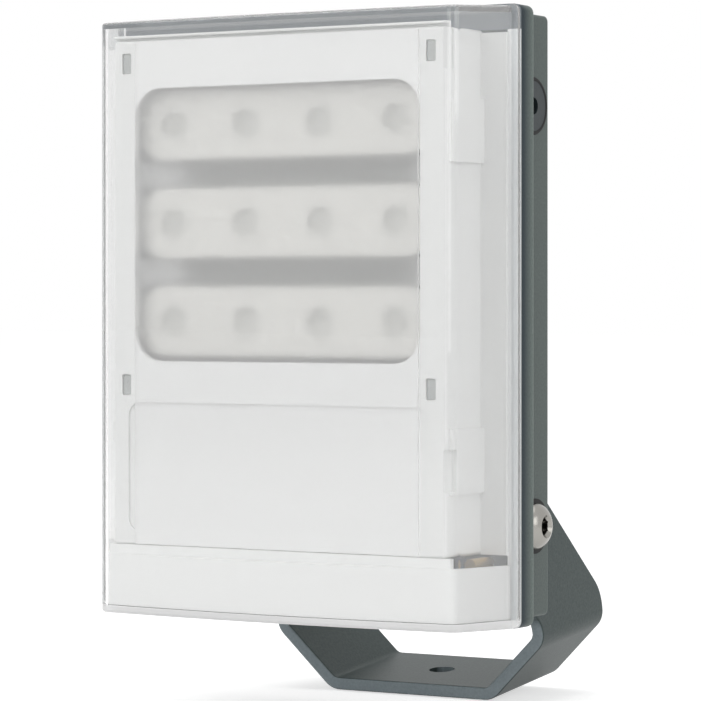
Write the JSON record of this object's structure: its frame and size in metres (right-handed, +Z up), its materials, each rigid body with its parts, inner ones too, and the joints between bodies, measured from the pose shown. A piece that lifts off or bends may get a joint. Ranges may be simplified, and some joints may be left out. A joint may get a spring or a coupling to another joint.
{
  "type": "light illuminator",
  "caption": "Flat wall or pole lamp head with a clear bowed cover over rows of lenses, finned back, and a U bracket that it tilts in.",
  "frame": {"origin": "centre of the bracket's base hole, on the underside of the base", "axes": "+Z up, along the lamp's height; the lamp's front faces -Y; +X is the lamp's left-hand side as it faces forwards, right in the front view"},
  "size_m": [0.18, 0.1612, 0.2675],
  "materials": {
    "coated_aluminium": "textured dark grey powder coat",
    "coated_steel": "textured dark grey powder coat",
    "clear_polycarbonate": "clear, polished",
    "white_plastic": "satin white",
    "frosted_sheet": "lightly diffusing",
    "clear_optic": "clear, polished",
    "board_white": "white solder mask",
    "board_green": "green solder mask",
    "light_package": "pale yellow phosphor",
    "bare_aluminium": "milled, dull",
    "dark_plastic": "black",
    "component_black": "black",
    "terminal_green": "green",
    "seal_rubber": "matt black",
    "seal_silicone": "satin grey",
    "coat_grey_plastic": "fine texture, the shade of the coat",
    "stainless": "bright stainless",
    "plated_brass": "turned",
    "nickel_brass": "nickel plated"
  },
  "bodies": {
    "bracket": {"u_bracket": "coated_steel"},
    "lamp_head": {"blanking_plug_left": "coat_grey_plastic", "blanking_plug_right": "coat_grey_plastic", "bottom_trim": "white_plastic", "brass_post_left": "plated_brass", "brass_post_right": "plated_brass", "clear_cover": "clear_polycarbonate", "cover_seal": "seal_silicone", "driver_board": "board_green", "driver_capacitors": "component_black", "driver_choke": "component_black", "driver_pillars": "plated_brass", "frame_screws": "stainless", "front_frame": "coated_aluminium", "gland_body": "nickel_brass", "gland_locknut": "nickel_brass", "gland_nut": "nickel_brass", "gland_seal": "seal_rubber", "heat_spreader": "bare_aluminium", "housing_seal": "seal_rubber", "inner_bezel": "white_plastic", "led_packages_lower": "light_package", "led_packages_middle": "light_package", "led_packages_upper": "light_package", "lens_sheet": "frosted_sheet", "lens_strip_lower": "clear_optic", "lens_strip_middle": "clear_optic", "lens_strip_upper": "clear_optic", "light_board_lower": "board_white", "light_board_middle": "board_white", "light_board_upper": "board_white", "pivot_bolt_left": "stainless", "pivot_bolt_right": "stainless", "pivot_nut_left": "stainless", "pivot_nut_right": "stainless", "pivot_spacer_left": "dark_plastic", "pivot_spacer_right": "dark_plastic", "pivot_washer_left": "seal_rubber", "pivot_washer_right": "seal_rubber", "rear_housing": "coated_aluminium", "terminal_block": "terminal_green"}
  },
  "joints": [
    {"name": "tilt", "type": "hinge", "parent": "bracket", "child": "lamp_head", "pos_m": [0, -0.0595, 0.06956], "axis": [1, 0, 0], "range_deg": [-95, 65]}
  ]
}
